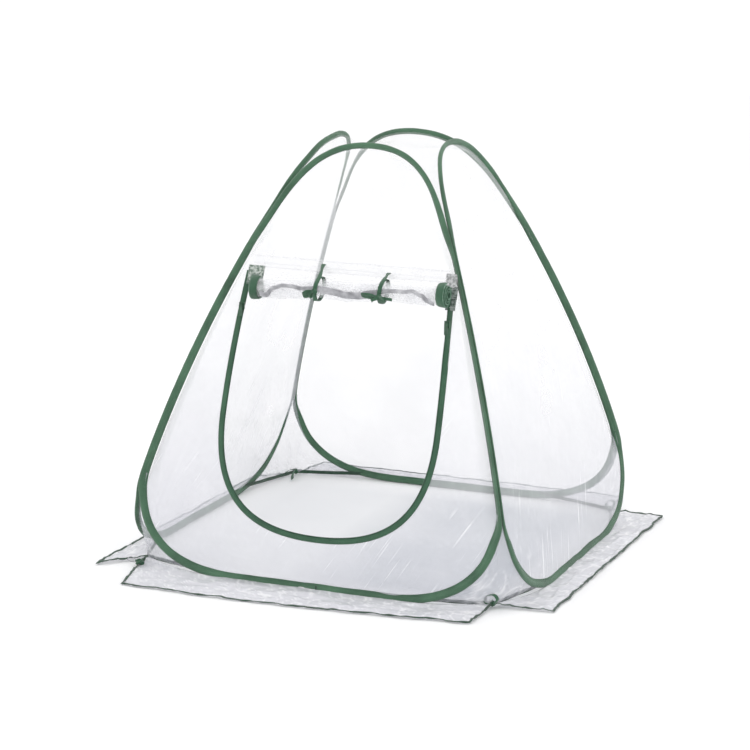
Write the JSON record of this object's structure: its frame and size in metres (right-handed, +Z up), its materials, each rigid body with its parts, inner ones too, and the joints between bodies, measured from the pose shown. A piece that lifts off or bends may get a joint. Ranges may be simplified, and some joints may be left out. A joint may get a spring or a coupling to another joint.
{
  "type": "pop-up greenhouse",
  "caption": "Small floorless pop-up greenhouse: sprung hoops in green sleeves, clear film walls, a roll-up zip door and ground skirts.",
  "frame": {"origin": "centre of the base, on the ground", "axes": "+Z up, the door faces -Y, +X to the right of someone facing the door from outside"},
  "size_m": [0.788, 0.84, 0.7008],
  "materials": {
    "spring_steel": "drawn spring wire",
    "crimped_steel": "crimped tube",
    "clear_film": "clear soft PVC film, slightly hazy, creased",
    "dark_binding": "narrow dark green polyester binding tape",
    "green_sleeve": "woven green polyester tape",
    "zip_fabric": "green woven zip tape",
    "zip_teeth": "nylon coil teeth",
    "zip_metal": "green enamelled die casting",
    "seam_band": "doubled and stitched clear film",
    "green_ribbon": "narrow green ribbon"
  },
  "bodies": {
    "front_panel": {"front_hoop_wire": "spring_steel", "front_hoop_ferrule": "crimped_steel", "front_hoop_sleeve": "green_sleeve", "front_wall_film": "clear_film", "front_right_gusset_film": "clear_film", "front_right_gusset_hem": "dark_binding", "front_right_peg_loop": "green_ribbon", "front_left_gusset_film": "clear_film", "front_left_gusset_hem": "dark_binding", "front_left_peg_loop": "green_ribbon", "top_cap_film": "clear_film", "zip_tape": "zip_fabric", "zip_teeth": "zip_teeth", "door_seam_band": "seam_band", "zip_end_patch_left": "green_ribbon", "zip_end_patch_right": "green_ribbon", "zip_slider_left": "zip_metal", "zip_slider_right": "zip_metal"},
    "right_panel": {"right_hoop_wire": "spring_steel", "right_hoop_ferrule": "crimped_steel", "right_hoop_sleeve": "green_sleeve", "right_wall_film": "clear_film", "back_right_gusset_film": "clear_film", "back_right_gusset_hem": "dark_binding", "back_right_peg_loop": "green_ribbon"},
    "back_panel": {"back_hoop_wire": "spring_steel", "back_hoop_ferrule": "crimped_steel", "back_hoop_sleeve": "green_sleeve", "back_wall_film": "clear_film"},
    "left_panel": {"left_hoop_wire": "spring_steel", "left_hoop_ferrule": "crimped_steel", "left_hoop_sleeve": "green_sleeve", "left_wall_film": "clear_film", "back_left_gusset_film": "clear_film", "back_left_gusset_hem": "dark_binding", "back_left_peg_loop": "green_ribbon"},
    "front_skirt": {"front_skirt_film": "clear_film", "front_skirt_binding": "dark_binding"},
    "right_skirt": {"right_skirt_film": "clear_film", "right_skirt_binding": "dark_binding"},
    "back_skirt": {"back_skirt_film": "clear_film", "back_skirt_binding": "dark_binding"},
    "left_skirt": {"left_skirt_film": "clear_film", "left_skirt_binding": "dark_binding"},
    "door_roll": {"door_roll_film": "clear_film", "zip_coil_left": "zip_fabric", "zip_coil_right": "zip_fabric", "door_tie_left": "green_ribbon", "door_tie_right": "green_ribbon"},
    "zip_pull_left": {"zip_pull_left": "zip_metal"},
    "zip_pull_right": {"zip_pull_right": "zip_metal"}
  },
  "joints": [
    {"name": "fold_front_right", "type": "hinge", "parent": "front_panel", "child": "right_panel", "pos_m": [0.30384, -0.30384, 0.158], "axis": [-0.3341, 0.3341, 0.8814], "range_deg": [0, 75], "stiffness_Nm_per_rad": 0.6, "springref_deg": -20.05, "deforming": ["front_right_gusset_film", "front_right_gusset_hem", "front_right_peg_loop", "back_right_gusset_film", "back_right_gusset_hem", "back_right_peg_loop", "top_cap_film"]},
    {"name": "fold_front_left", "type": "hinge", "parent": "front_panel", "child": "left_panel", "pos_m": [-0.32284, -0.32284, 0.158], "axis": [0.3119, 0.3119, 0.8974], "range_deg": [0, 72.88], "stiffness_Nm_per_rad": 0.6, "springref_deg": -20.05, "deforming": ["front_left_gusset_film", "front_left_gusset_hem", "front_left_peg_loop"]},
    {"name": "fold_back_left", "type": "hinge", "parent": "left_panel", "child": "back_panel", "pos_m": [-0.30384, 0.30384, 0.158], "axis": [-0.3341, 0.3341, -0.8814], "range_deg": [0, 75.5], "stiffness_Nm_per_rad": 0.6, "springref_deg": -20.05, "deforming": ["back_left_gusset_film", "back_left_gusset_hem", "back_left_peg_loop"]},
    {"name": "front_skirt_lift", "type": "hinge", "parent": "front_panel", "child": "front_skirt", "pos_m": [0, -0.357, 0.0006], "axis": [-1, 0, 0], "range_deg": [0, 90]},
    {"name": "right_skirt_lift", "type": "hinge", "parent": "right_panel", "child": "right_skirt", "pos_m": [0.357, 0, 0.0006], "axis": [0, -1, 0], "range_deg": [0, 90]},
    {"name": "back_skirt_lift", "type": "hinge", "parent": "back_panel", "child": "back_skirt", "pos_m": [0, 0.357, 0.0006], "axis": [1, 0, 0], "range_deg": [0, 90]},
    {"name": "left_skirt_lift", "type": "hinge", "parent": "left_panel", "child": "left_skirt", "pos_m": [-0.357, 0, 0.0006], "axis": [0, 1, 0], "range_deg": [0, 90]},
    {"name": "door_roll_swing", "type": "hinge", "parent": "front_panel", "child": "door_roll", "pos_m": [0.0175, -0.20135, 0.496], "axis": [-1, 0, 0], "range_deg": [0, 70]},
    {"name": "zip_pull_left_swing", "type": "hinge", "parent": "front_panel", "child": "zip_pull_left", "pos_m": [-0.1742, -0.23393, 0.439], "axis": [-1, 0, 0], "range_deg": [0, 100]},
    {"name": "zip_pull_right_swing", "type": "hinge", "parent": "front_panel", "child": "zip_pull_right", "pos_m": [0.1862, -0.23393, 0.439], "axis": [-1, 0, 0], "range_deg": [0, 100]}
  ],
  "couplings": [
    {"joint": "fold_front_left", "follows": "fold_front_right", "ratio": 0.965},
    {"joint": "fold_back_left", "follows": "fold_front_right", "ratio": 1}
  ]
}
